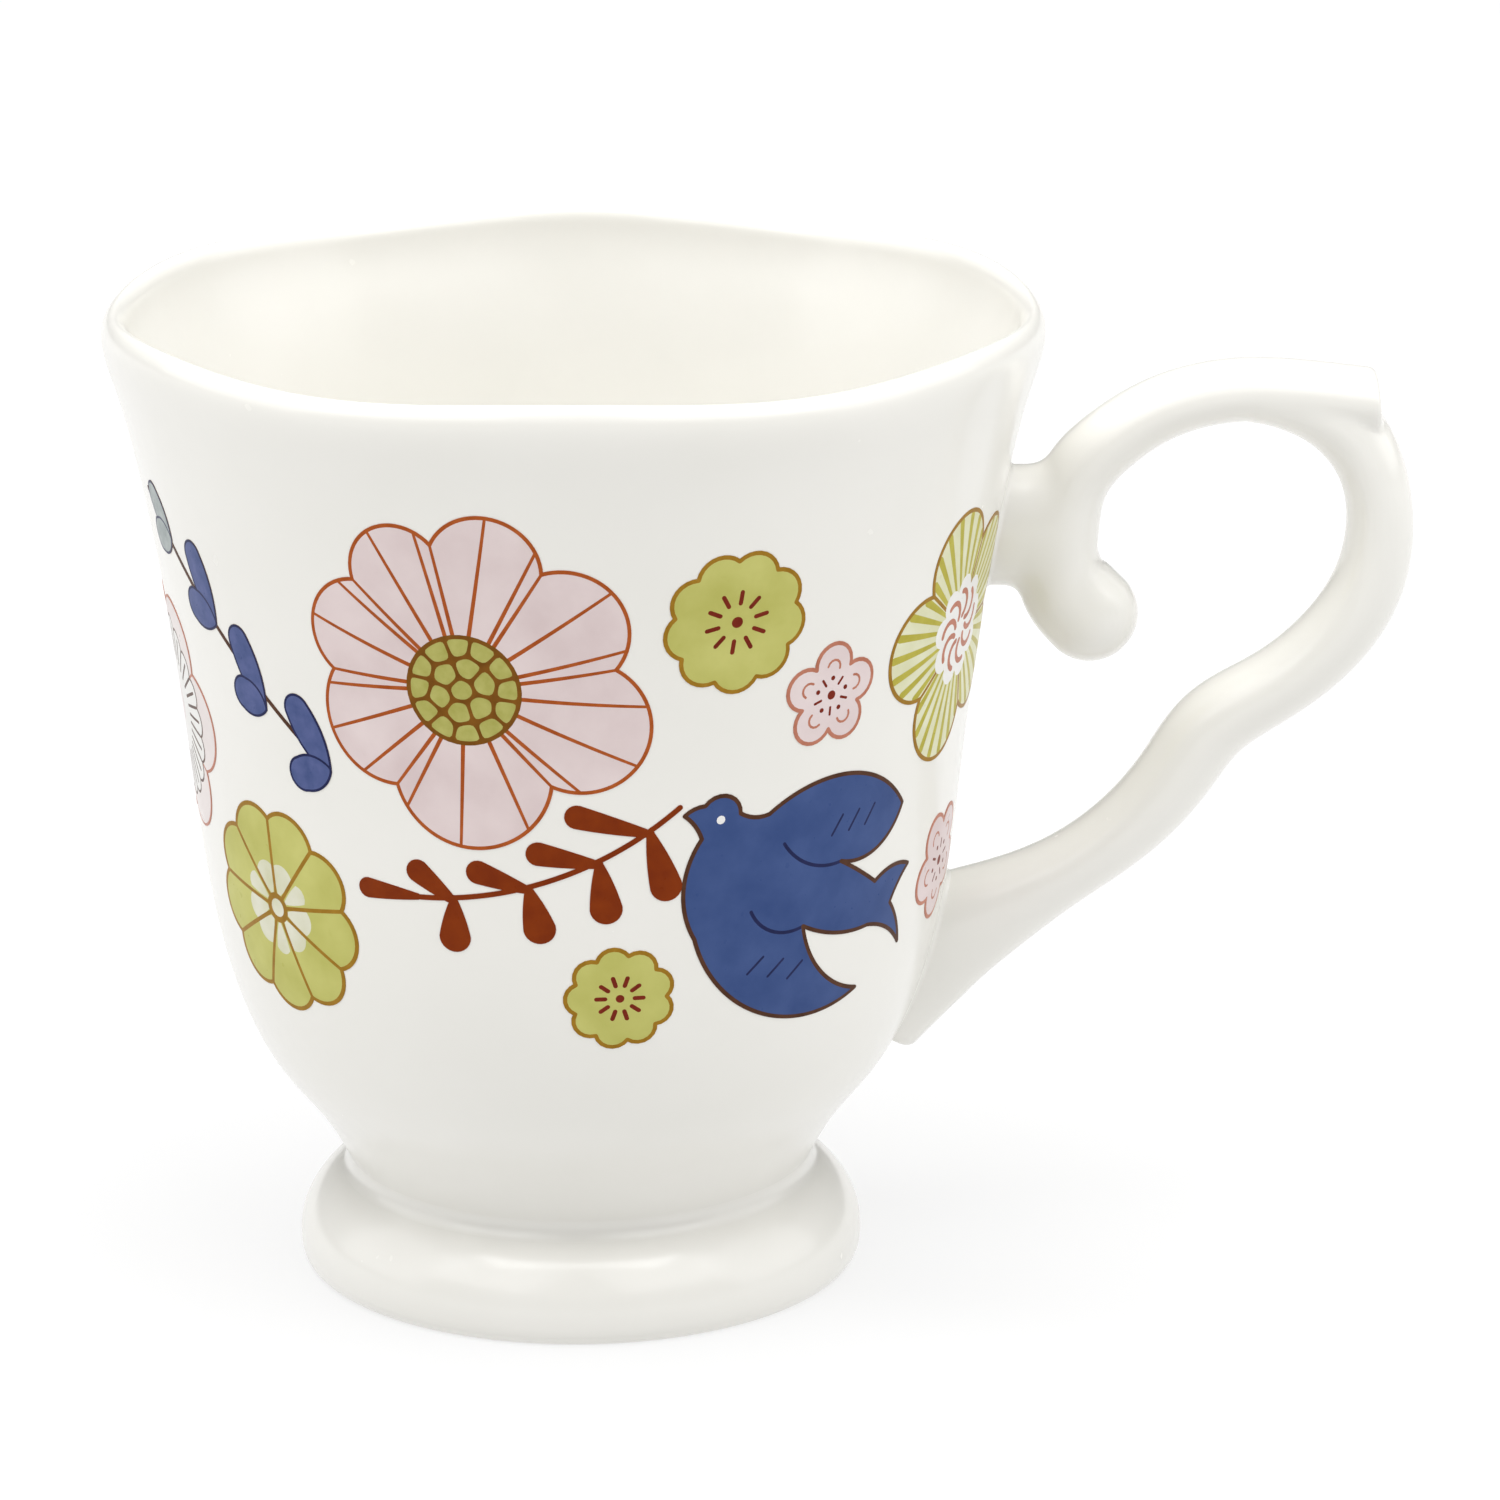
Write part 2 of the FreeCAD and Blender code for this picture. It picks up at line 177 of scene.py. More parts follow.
corner_x = 75.15           # flat end of the scroll, where the thumb corner is
corner_height = 86.0       # height at which corner_x is measured
corner_lean = 0.087        # how far that end leans back, per mm of height
corner_round = 0.7         # and how softly its edge is rounded
tail_past = 0.3            # the strap ends this far past its last station
tail_round = 1.0           # and is rounded this softly there
stub_blend = 1.6           # how softly the stub flows into the scroll
strap_blend = 0.6          # and the strap into the scroll
lower_joint_height = 30.0  # where the strap meets the wall
handle_low = (27.0, -5.4, 17.0)   # lowest and highest corner of a box that holds the handle
handle_high = (81.0, 5.4, 91.0)


# ------------------------------------------------------------ curves
def spline(points, per_span, start=None, end=None):
    """A smooth curve through the points; start and end are unit tangents where they matter."""
    p = np.array(points, float)
    h = np.linalg.norm(np.diff(p[:, :2], axis=0), axis=1)
    count = len(p)
    system = np.zeros((count, count))
    right = np.zeros_like(p)
    for i in range(1, count - 1):
        system[i, i - 1] = h[i]
        system[i, i] = 2 * (h[i - 1] + h[i])
        system[i, i + 1] = h[i - 1]
        right[i] = 3 * (h[i] * (p[i] - p[i - 1]) / h[i - 1] + h[i - 1] * (p[i + 1] - p[i]) / h[i])
    for row, near, span, tangent in ((0, 1, 0, start), (count - 1, count - 2, -1, end)):
        system[row, row] = 2 if tangent is None else 1
        if tangent is None:
            system[row, near] = 1
            right[row] = 3 * (p[max(row, near)] - p[min(row, near)]) / h[span]
        else:
            right[row] = tangent
    slope = np.linalg.solve(system, right)
    rows = []
    for i in range(count - 1):
        t = np.linspace(0, 1, per_span, endpoint=False)[:, None]
        rows.append(
            p[i] * (1 - t) ** 2 * (1 + 2 * t)
            + p[i + 1] * t**2 * (3 - 2 * t)
            + slope[i] * h[i] * t * (1 - t) ** 2
            - slope[i + 1] * h[i] * t**2 * (1 - t)
        )
    rows.append(p[-1:])
    return np.concatenate(rows)


def three_point_arc(a, b, c, step=0.5):
    """Points along the arc from a through b to c, without c."""
    a, b, c = (np.array(q, float) for q in (a, b, c))
    ab, ac = b - a, c - a
    cross = ab[0] * ac[1] - ab[1] * ac[0]
    if abs(cross) < 1e-6:
        count = max(int(np.linalg.norm(ac) / step), 1)
        return a + ac * np.linspace(0, 1, count, endpoint=False)[:, None]
    turned = ac * (ab @ ab) - ab * (ac @ ac)
    centre = a + np.array([turned[1], -turned[0]]) / (2 * cross)
    radius = np.linalg.norm(a - centre)
    first = math.atan2(*(a - centre)[::-1])
    sweep = (math.atan2(*(c - centre)[::-1]) - first) % (2 * math.pi)
    if cross < 0:
        sweep -= 2 * math.pi
    count = max(int(abs(sweep) * radius / step), 2)
    angles = first + sweep * np.linspace(0, 1, count, endpoint=False)
    return centre + radius * np.stack([np.cos(angles), np.sin(angles)], 1)


wall_slope = (2.0, 4.0)    # the wall leaves the base this far out for this far up
wall_start = np.array(wall_slope) / math.hypot(*wall_slope)
wall = spline(outer_wall + lip + inner_wall, wall_rows, wall_start, (-1.0, 0.0))
outside = wall[:wall_rows * len(outer_wall)]


def wall_radius(height):
    """The radius of the bowl's outside at a height."""
    return np.interp(height, outside[:, 1], outside[:, 0])


# ------------------------------------------------------------ meshes
def new_piece(name, points, faces, *materials):
    """A smooth-shaded object from points in millimetres."""
    mesh = bpy.data.meshes.new(name)
    mesh.from_pydata((np.asarray(points) * MM).tolist(), [], faces)
    for material in materials:
        mesh.materials.append(material)
    mesh.update()
    piece = bpy.data.objects.new(name, mesh)
    bpy.context.scene.collection.objects.link(piece)
    mesh.shade_smooth()
    return piece


def lift(height, azimuth):
    """How far the waved lip stands above its mean height."""
    share = np.clip((height - rim_wave_start) / (rim_height - rim_wave_start), 0, 1)
    share = share * share * (3 - 2 * share)
    return -rim_wave * share * np.cos(rim_wave_count * azimuth)


def revolve(outline, waved=False, closed=False):
    """Points and faces of an outline turned about Z; an end on the axis becomes one point."""
    azimuth = np.arange(around) * 2 * math.pi / around
    points, rings = [], []
    for radius, height in outline:
        if radius < 1e-6:
            rings.append([len(points)] * around)
            points.append((0.0, 0.0, height))
            continue
        z = height + (lift(height, azimuth) if waved else 0 * azimuth)
        rings.append(range(len(points), len(points) + around))
        points.extend(zip(radius * np.cos(azimuth), radius * np.sin(azimuth), z))
    faces = []
    pairs = list(zip(rings, rings[1:]))
    if closed:
        pairs.append((rings[-1], rings[0]))
    for low, high in pairs:
        for k in range(around):
            n = (k + 1) % around
            face = [low[k], low[n], high[n], high[k]]
            face = [v for i, v in enumerate(face) if v != face[i - 1]]
            faces.append(face)
    return points, faces


# ------------------------------------------------------------ handle as a distance field
def path_rows(stations):
    """A centreline as rows of (x, z, half height, half width, direction x, direction z)."""
    rows = spline(stations, station_rows)
    tangent = np.gradient(rows[:, :2], axis=0)
    return np.hstack([rows, tangent / np.linalg.norm(tangent, axis=1, keepdims=True)])


def nearest_row(flat, rows, skip=8):
    """The row nearest to each point: every eighth row is tried first, then the rows round it."""
    gap = ((flat[:, None] - rows[None, ::skip, :2]) ** 2).sum(2)
    window = gap.argmin(1)[:, None] * skip + np.arange(-skip, skip + 1)
    window = np.clip(window, 0, len(rows) - 1)
    gap = ((flat[:, None] - rows[window, :2]) ** 2).sum(2)
    return window[np.arange(len(flat)), gap.argmin(1)]


def tube_field(x, y, z, rows):
    """Roughly the distance from an oval tube; x and z share a shape, and y stretches over it."""
    flat = np.stack([x.ravel(), z.ravel()], 1)
    near = nearest_row(flat, rows)
    spacing = np.linalg.norm(rows[1, :2] - rows[0, :2])
    ahead = ((flat - rows[near, :2]) * rows[near, 4:]).sum(1)
    along = np.clip(near + np.clip(ahead / spacing, -1, 1), 0, len(rows) - 1.001)
    low = along.astype(int)
    share = (along - low)[:, None]
    row = rows[low] * (1 - share) + rows[low + 1] * share
    away = flat - row[:, :2]
    side = away[:, 1] * row[:, 4] - away[:, 0] * row[:, 5]
    beyond = (away * row[:, 4:]).sum(1)
    across = np.hypot(side, beyond).reshape(x.shape)
    half_height = row[:, 2].reshape(x.shape)
    half_width = row[:, 3].reshape(x.shape)
    ratio = np.hypot(across / half_height, y / half_width)
    slope = np.hypot(across / half_height**2, y / half_width**2)
    inner = -np.minimum(half_height, half_width)
    return np.where(slope > 1e-6, ratio * (ratio - 1) / np.maximum(slope, 1e-6), inner)


def blend_union(a, b, reach):
    """The nearer of two distances, rounded where they are within reach of each other."""
    share = np.maximum(reach - np.abs(a - b), 0) / reach
    return np.minimum(a, b) - share * share * reach / 4


def blend_cut(a, b, reach):
    """The shape of a where b is negative, with a rounded edge."""
    return -blend_union(-a, -b, reach)


scroll_rows = path_rows(scroll_stations)
strap_rows = path_rows(strap_stations)
stub_rows = path_rows(stub_stations)


def handle_shape(x, y, z):
    scroll = tube_field(x, y, z, scroll_rows)
    scroll = blend_cut(scroll, x + corner_lean * (z - corner_height) - corner_x, corner_round)
    strap = tube_field(x, y, z, strap_rows)
    tail = strap_rows[-1]
    tail_end = (x - tail[0]) * tail[4] + (z - tail[1]) * tail[5]
    strap = blend_cut(strap, tail_end - tail_past, tail_round)
    stub = tube_field(x, y, z, stub_rows)
    return blend_union(blend_union(scroll, stub, stub_blend), strap, strap_blend)


def handle_field(points):
    return handle_shape(*points.T)


def profile_field(points, rows):
    """Signed distance from a turned outline whose outside is on its right."""
    flat = np.stack([np.hypot(points[:, 0], points[:, 1]), points[:, 2]], 1)
    tangent = np.gradient(rows, axis=0)
    tangent = tangent / np.linalg.norm(tangent, axis=1, keepdims=True)
    gap = ((flat[:, None] - rows[None]) ** 2).sum(2)
    nearest = gap.argmin(1)
    away = flat - rows[nearest]
    direction = tangent[nearest]
    return away[:, 0] * direction[:, 1] - away[:, 1] * direction[:, 0]


fine_outside = spline(outer_wall + lip, fine_rows, wall_start)[:fine_rows * len(outer_wall)]


def bowl_field(points):
    return profile_field(points, fine_outside)


def gradient(field, points, step=0.02):
    """The slope of a field at each point."""
    columns = []
    for axis in np.eye(3) * step:
        columns.append((field(points + axis) - field(points - axis)) / (2 * step))
    return np.stack(columns, 1)


def settle(points, field, rounds=2):
    """Moves points onto the field's surface."""
    for _ in range(rounds):
        slope = gradient(field, points)
        points = points - slope * (field(points) / (slope**2).sum(1))[:, None]
    return points


def make_handle(material):
    """Turns the distance field into a mesh, cut off just inside the wall of the bowl."""
    low = np.array(handle_low)
    counts = np.ceil((np.array(handle_high) - low) / voxel).astype(int)
    x, y, z = (low[i] + voxel * np.arange(counts[i]) for i in range(3))
    flat_x, flat_z = np.meshgrid(x, z, indexing="ij")
    values = handle_shape(flat_x[:, None, :], y[None, :, None], flat_z[:, None, :])
    radius = np.hypot(x[:, None, None], y[None, :, None])
    values = np.maximum(values, wall_radius(z)[None, None, :] - embed - radius)
    volume = openvdb.FloatGrid(field_band)
    volume.copyFromArray(np.clip(values, -field_band, field_band).astype(np.float32))
    points, quads = volume.convertToQuads(0.0)
    points = points * voxel + low
    shown = np.hypot(points[:, 0], points[:, 1]) > wall_radius(points[:, 2]) - embed / 2
    points[shown] = settle(points[shown], handle_field)
    return new_piece("scroll_handle", points, quads[:, ::-1].tolist(), material)


# ------------------------------------------------------------ slip fillets
def ball_between(start, field_a, field_b, radius, rounds=8):
    """Centres of balls that touch both surfaces from outside."""
    centre = start + radius * (gradient(field_a, start) + gradient(field_b, start))
    for _ in range(rounds):
        ga = gradient(field_a, centre)
        gb = gradient(field_b, centre)
        miss = np.stack([radius - field_a(centre), radius - field_b(centre)], 1)
        normal = np.stack([ga, gb], 1)
        square = normal @ normal.transpose(0, 2, 1)
        step = normal.transpose(0, 2, 1) @ np.linalg.solve(square, miss[:, :, None])
        centre = centre + step[:, :, 0]
    return centre


def evened(ring, rounds=6):
    """A closed ring of points with its small kinks smoothed out."""
    for _ in range(rounds):
        ring = (np.roll(ring, 1, 0) + 2 * ring + np.roll(ring, -1, 0)) / 4
    return ring


def fillet_ring(name, start, field_a, field_b, radius, material):
    """A closed bead of slip whose hollow face is tangent to both surfaces."""
    rows = 12
    root_depth = 0.25
    centre = evened(ball_between(start, field_a, field_b, radius))
    touch_a = evened(settle(centre - radius * gradient(field_a, centre), field_a, 3))
    touch_b = evened(settle(centre - radius * gradient(field_b, centre), field_b, 3))
    reach_a = np.linalg.norm(touch_a - centre, axis=1, keepdims=True)
    reach_b = np.linalg.norm(touch_b - centre, axis=1, keepdims=True)
    toward_a = (touch_a - centre) / reach_a
    toward_b = (touch_b - centre) / reach_b
    angle = np.arccos(np.clip((toward_a * toward_b).sum(1), -1, 1))[:, None]
    rings = []
    for row in range(rows + 1):
        share = row / rows
        mixed = toward_a * np.sin((1 - share) * angle) + toward_b * np.sin(share * angle)
        spread = (1 - share) * reach_a + share * reach_b
        rings.append(centre + spread * mixed / np.sin(angle))
    root = start - root_depth * (gradient(field_a, start) + gradient(field_b, start))
    rings.append(root)
    count = len(start)
    points = np.concatenate(rings)
    faces = []
    for row in range(len(rings)):
        following = (row + 1) % len(rings)
        for k in range(count):
            n = (k + 1) % count
            faces.append([
                row * count + k,
                row * count + n,
                following * count + n,
                following * count + k,
            ])
    piece = new_piece(name, points, faces, material)

    def on_a_corner(a, b):
        row_a, row_b = a // count, b // count
        if row_a == row_b:
            return row_a in (0, rows, rows + 1)
        return {row_a, row_b} in ({0, rows + 1}, {rows, rows + 1})

    sharpen(piece, on_a_corner)
    outward(piece)
    return piece


def sharpen(piece, is_sharp):
    """Marks edges whose two vertex numbers pass a test as sharp."""
    for edge in piece.data.edges:
        a, b = edge.vertices
        if is_sharp(a, b):
            edge.use_edge_sharp = True


def outward(piece):
    """Turns a closed mesh's faces to look outward."""
    mesh = piece.data
    mesh.calc_loop_triangles()
    volume = 0.0
    for triangle in mesh.loop_triangles:
        a, b, c = (mesh.vertices[v].co for v in triangle.vertices)
        volume += a.dot(b.cross(c))
    if volume < 0:
        mesh.flip_normals()


def joint_outline(height, count=160):
    """Points where the handle's surface meets the wall, round a joint."""
    angles = np.arange(count) * 2 * math.pi / count
    farthest = 14.0
    low = np.zeros(count)
    high = np.full(count, farthest)

    def on_wall(distance):
        z = height + distance * np.sin(angles)
        r = wall_radius(z)
        azimuth = distance * np.cos(angles) / r
        return np.stack([r * np.cos(azimuth), r * np.sin(azimuth), z], 1)

    for _ in range(30):
        middle = (low + high) / 2
        within = handle_field(on_wall(middle)) < 0
        low = np.where(within, middle, low)
        high = np.where(within, high, middle)
    return on_wall(low)


# ------------------------------------------------------------ prints
def polar(radius, degrees):
    angle = math.radians(degrees)
    return np.array([radius * math.cos(angle), radius * math.sin(angle)])


def disc(centre, radius, count=18):
    angles = np.arange(count) * 2 * math.pi / count
    return np.array(centre) + radius * np.stack([np.cos(angles), np.sin(angles)], 1)


def arc_shape(corners, middles, step=0.5):
    """A closed outline of arcs: from each corner, through its mid-point, to the next corner."""
    arcs = []
    for i, corner in enumerate(corners):
        arcs.append(three_point_arc(corner, middles[i], corners[(i + 1) % len(corners)], step))
    return arcs


def stroke(path, width, start_width=None):
    """A pen stroke along a path, with round ends; start_width makes it taper."""
    path = np.array(path, float)
    tangent = np.gradient(path, axis=0)
    tangent = tangent / np.linalg.norm(tangent, axis=1, keepdims=True)
    normal = np.stack([-tangent[:, 1], tangent[:, 0]], 1)
    first = width if start_width is None else start_width
    half = np.linspace(first, width, len(path))[:, None] / 2
    cap_angles = np.linspace(0, math.pi, 6)[1:-1, None]

    def cap(end, sign):
        side = -sign * normal[end] * np.cos(cap_angles)
        ahead = sign * tangent[end] * np.sin(cap_angles)
        return path[end] + half[end] * (side + ahead)

    return np.concatenate([path - normal * half, cap(-1, 1), (path + normal * half)[::-1], cap(0, -1)])


def line(a, b, step=0.8):
    a, b = np.array(a, float), np.array(b, float)
    count = max(int(np.linalg.norm(b - a) / step), 1) + 1
    return a + (b - a) * np.linspace(0, 1, count)[:, None]


def leaf_shape(base, tip, width, fullness):
    """A leaf, narrow at its base and round at its tip; fullness is its half-way width over its width."""
    base, tip = np.array(base, float), np.array(tip, float)
    length = np.linalg.norm(tip - base)
    ahead = (tip - base) / length
    side = np.array([-ahead[1], ahead[0]])

    def point(distance, offset):
        return base + ahead * distance + side * offset

    half, neck = width / 2, 0.3
    shoulder = length - half
    corners = [point(-neck, -neck), point(shoulder, -half), point(shoulder, half), point(-neck, neck)]
    middles = [
        point(shoulder * 0.5, -half * fullness),
        point(length, 0),
        point(shoulder * 0.5, half * fullness),
        point(-neck * 1.4, 0),
    ]
    return arc_shape(corners, middles, 0.35)


def reach_at(outline, degrees):
    """How far a star-shaped outline reaches at an angle."""
    angles = np.degrees(np.arctan2(outline[:, 1], outline[:, 0]))
    order = np.argsort(angles)
    return np.interp(
        (degrees + 180) % 360 - 180,
        angles[order],
        np.linalg.norm(outline, axis=1)[order],
        period=360,
    )


def petal_outline(petals):
    """Arcs round petals, each given as (start angle, start radius, tip angle, tip radius)."""
    corners = [polar(start_radius, start) for start, start_radius, _, _ in petals]
    middles = [polar(tip_radius, tip) for _, _, tip, tip_radius in petals]
    return arc_shape(corners, middles)


def even_petals(radius, notch_radius, count, turn):
    """Equal petals, turned by an angle in degrees."""
    step = 360 / count
    return [
        (turn + step * k, notch_radius, turn + step * (k + 0.5), radius)
        for k in range(count)
    ]


def ray(start, end, angle, width, start_width=None):
    """A pen stroke along an angle, from one radius to another."""
    return stroke(line(polar(start, angle), polar(end, angle)), width, start_width)


def bend(start, middle, end, angles, step):
    """The arc through three radii, each at its own angle."""
    return three_point_arc(*(polar(r, a) for r, a in zip((start, middle, end), angles)), step)


def edge_strokes(arcs, width):
    """One stroke along each arc of an outline."""
    strokes = []
    for i, arc in enumerate(arcs):
        strokes.append(stroke(np.concatenate([arc, arcs[(i + 1) % len(arcs)][:1]]), width))
    return strokes


def seed_head(radius, gap, rng):
    """Seeds packed in a round head, as rounded cells with a narrow gap between them."""
    centres = [rng.uniform(-0.2, 0.2, 2)]
    for share, count in ((0.41, 6), (0.82, 12)):
        for k in range(count):
            wander = rng.uniform(-0.22, 0.22, 2)
            centres.append(polar(radius * share, 360 * k / count + 40 * share) + wander)
    angles = np.arange(26) * 2 * math.pi / 26
    rays = np.stack([np.cos(angles), np.sin(angles)], 1)
    seeds = []
    for i, centre in enumerate(centres):
        others = np.array([c for j, c in enumerate(centres) if j != i]) - centre
        distance = np.linalg.norm(others, axis=1)
        facing = np.maximum(rays @ others.T / distance, 0.02)
        limits = (distance - gap) / 2 / facing
        along = rays @ centre
        rim = np.sqrt(along**2 + (radius - gap / 2) ** 2 - centre @ centre) - along
        reach = ((limits**-6.0).sum(1) + rim**-6.0) ** (-1 / 6)
        seeds.append(centre + rays * reach[:, None])
    return seeds


def big_flower():
    """Seven uneven petals with veins, round a head of seeds."""
    rng = np.random.default_rng(7)
    petals = [
        (9, 14.0, 34, 16.9),
        (56, 13.8, 80, 17.0),
        (99, 14.0, 118, 16.8),
        (136, 14.0, 154, 15.9),
        (177, 12.8, 209, 14.3),
        (235, 11.9, 272, 15.3),
        (310, 11.8, 340, 17.2),
    ]
    arcs = petal_outline(petals)
    outline = np.concatenate(arcs)
    head = 5.1
    lines = edge_strokes(arcs, 0.36)
    for i, (start, _, _, _) in enumerate(petals):
        width = (petals[(i + 1) % len(petals)][0] - start) % 360
        veins = [0.0, 0.13, 0.55] if width < 50 else [0.0, 0.11, 0.42, 0.76]
        for share in veins:
            angle = start + width * share
            tip = polar(reach_at(outline, angle), angle)
            inner = polar(head, angle + rng.uniform(-2, 2))
            lines.append(stroke(line(inner, tip), 0.28, 0.4))
    return [
        ("pink", [outline]),
        ("rust", lines),
        ("seed_gap", [disc((0, 0), head + 0.25, count=40)]),
        ("seed_green", seed_head(head, 0.34, rng)),
    ]


def scalloped_blossom(radius, depth, count, turn):
    arcs = petal_outline(even_petals(radius, radius - depth, count, turn))
    marks = [disc((0, 0), radius * 0.08)]
    for k in range(10):
        angle = 36 * k + turn
        marks.append(ray(radius * 0.27, radius * 0.43, angle, 0.42))
    return [
        ("green", [np.concatenate(arcs)]),
        ("olive", edge_strokes(arcs, 0.4)),
        ("dark_red", marks),
    ]


def pink_blossom(radius, notch, turn):
    arcs = petal_outline(even_petals(radius, notch, 5, turn))
    marks = [disc((0, 0), radius * 0.09)]
    loops = []
    for k in range(5):
        angle = 72 * k + turn + 36
        marks.append(disc(polar(radius * 0.33, angle), 0.24, count=10))
        marks.append(ray(radius * 0.24, radius * 0.38, angle - 36, 0.26))
        loop = bend(radius * 0.52, radius * 0.68, radius * 0.52, (angle - 15, angle, angle + 15), 0.3)
        loops.append(stroke(loop, 0.24))
    return [
        ("pink", [np.concatenate(arcs)]),
        ("rose", edge_strokes(arcs, 0.38) + loops),
        ("dark_red", marks),
    ]


def striped_flower(radius, notch, turn):
    arcs = petal_outline(even_petals(radius, notch, 5, turn))
    outline = np.concatenate(arcs)
    stripe_count = 35
    stripes = []
    for k in range(stripe_count):
        angle = turn + 360 / stripe_count * (k + 0.5)
        stripes.append(ray(radius * 0.3, reach_at(outline, angle) - 0.4, angle, 0.8, 0.3))
    folds = [ray(radius * 0.3, notch, turn + 72 * k, 0.36) for k in range(5)]
    heart = petal_outline(even_petals(radius * 0.43, radius * 0.34, 9, turn))
    marks = []
    for k in range(9):
        angle = turn + 40 * k + 10
        curl = bend(radius * 0.1, radius * 0.24, radius * 0.31, (angle, angle - 8, angle + 22), 0.4)
        marks.append(stroke(curl, 0.55))
    return [
        ("striped_green", [outline]),
        ("stripe", stripes),
        ("olive", edge_strokes(arcs, 0.4) + folds),
        ("white", [np.concatenate(heart)]),
        ("rose", marks),
    ]


def nine_petal_flower(radius, notch, turn):
    petals = even_petals(radius, notch, 9, turn)
    arcs = petal_outline(petals)
    folds = [ray(1.3, notch, start, 0.4) for start, _, _, _ in petals]
    pale = []
    for k, (_, _, tip, _) in enumerate(petals):
        spread = 17 if k % 3 else 13
        left, right = tip - spread, tip + spread
        shape = arc_shape(
            [polar(1.2, tip), polar(radius * 0.42, left), polar(radius * 0.42, right)],
            [polar(radius * 0.28, left), polar(radius * 0.46, tip), polar(radius * 0.28, right)],
            0.4,
        )
        pale.append(np.concatenate(shape))
    return [
        ("green", [np.concatenate(arcs)]),
        ("pale_green", pale),
        ("olive", edge_strokes(arcs, 0.42) + folds + [disc((0, 0), 1.5, count=24)]),
        ("pale_green", [disc((0, 0), 0.9)]),
    ]


def pale_flower(radius, notch, turn):
    arcs = petal_outline(even_petals(radius, notch, 6, turn))
    ring = petal_outline(even_petals(radius * 0.74, radius * 0.68, 18, turn))
    marks = [ray(radius * 0.4, radius * 0.66, 10 * k, 0.3) for k in range(36)]
    folds = [ray(radius * 0.7, notch, turn + 60 * k, 0.26) for k in range(6)]
    return [
        ("pale_pink", [np.concatenate(arcs)]),
        ("rose", edge_strokes(arcs, 0.26) + folds),
        ("white", [np.concatenate(ring)]),
        ("brown", edge_strokes(ring, 0.26) + marks),
        ("pale_pink", [disc((0, 0), radius * 0.16)]),
    ]


def sprig(stem, pairs, widths, fullness):
    """A stem with leaves in pairs, as (the stem's path, the leaves as lists of arcs)."""
    stem_path = np.concatenate([three_point_arc(*stem), [stem[2]]])
    leaves = []
    for base, upper, lower in pairs:
        leaves.append(leaf_shape(base, upper, widths[0], fullness))
        leaves.append(leaf_shape(base, lower, widths[1], fullness))
    return stem_path, leaves


def rust_sprig():
    stem_path, leaves = sprig(
        ((15.1, 5.6), (1.4, -1.7), (-14.5, -3.4)),
        [
            ((12.3, 3.2), (4.6, 5.4), (14.0, -3.4)),
            ((7.6, 0.4), (1.0, 1.7), (8.3, -5.4)),
            ((1.2, -2.1), (-4.5, -0.2), (2.4, -7.3)),
            ((-5.8, -3.6), (-10.1, -0.3), (-5.8, -8.6)),
        ],
        (2.3, 3.0),
        0.72,
    )
    leaves.append(leaf_shape((-9.5, -3.5), (-15.4, -3.3), 2.0, 0.72))
    blades = [np.concatenate(leaf) for leaf in leaves]
    return [("rust_leaf", blades + [stroke(stem_path, 0.5)])]


def blue_sprig():
    stem_path, leaves = sprig(
        ((-13.5, 12.2), (-0.4, 0.6), (11.7, -9.6)),
        [
            ((-9.0, 8.3), (-12.6, 12.9), (-13.3, 8.0)),
            ((-1.9, 1.9), (-4.4, 9.2), (-6.6, 3.4)),
            ((4.3, -5.0), (1.4, 2.3), (0.2, -3.6)),
            ((11.6, -9.6), (8.2, -3.0), (7.0, -11.0)),
        ],
        (3.0, 3.2),
        1.0,
    )
    layers = [("brown", [stroke(stem_path, 0.42)])]
    for k, leaf in enumerate(leaves):
        layers.append(("grey_leaf" if k < 2 else "leaf_blue", [np.concatenate(leaf)]))
        layers.append(("dark_blue", edge_strokes(leaf, 0.24)))
    return layers


def flying_bird():
    """A plain dove in flight, facing left."""
    corners = [
        (-13.8, 8.6), (-11.9, 9.4), (-8.4, 8.3), (-5.4, 7.8), (11.6, 5.4),
        (3.2, 1.6), (8.2, -1.6), (13.6, -1.2), (10.9, -4.4), (13.2, -9.0),
        (7.6, -5.8), (-0.8, -4.0), (7.0, -12.0), (-12.0, -3.6), (-12.0, 6.2),
    ]
    middles = [
        (-12.9, 9.2), (-10.0, 10.2), (-6.9, 7.7), (0.9, 10.2), (8.8, 2.2),
        (6.0, -0.1), (11.1, -0.7), (12.0, -2.7), (12.4, -6.6), (10.6, -6.8),
        (3.6, -5.6), (2.0, -9.2), (-5.4, -11.6), (-13.4, 1.2), (-12.7, 7.5),
    ]
    arcs = arc_shape(corners, middles)
    folds = []
    for start, middle, end in (
        ((-3.6, 4.6), (-0.4, 2.0), (3.2, 1.6)),
        ((-6.6, -1.6), (-4.4, -3.8), (-0.8, -4.0)),
    ):
        folds.append(stroke(np.concatenate([three_point_arc(start, middle, end), [end]]), 0.34))
    feathers = []
    for k in range(3):
        root = np.array([1.8 + 2.1 * k, 4.4 + 0.1 * k])
        feathers.append(stroke(line(root, root + (1.2, 1.8)), 0.24))
        low_root = np.array([-6.4 + 2.2 * k, -7.8 - 0.6 * k])
        feathers.append(stroke(line(low_root, low_root + (1.5, 1.5)), 0.24))
    return [
        ("blue", [np.concatenate(arcs)]),
        ("dark_blue", folds + feathers),
        ("brown", edge_strokes(arcs, 0.4)),
        ("white", [disc((-10.3, 7.9), 0.42, count=12)]),
    ]


def turned_area(shape):
    """The area inside an outline, negative if it runs clockwise."""
    following = np.roll(shape, -1, axis=0)
    return (shape[:, 0] * following[:, 1] - shape[:, 1] * following[:, 0]).sum() / 2


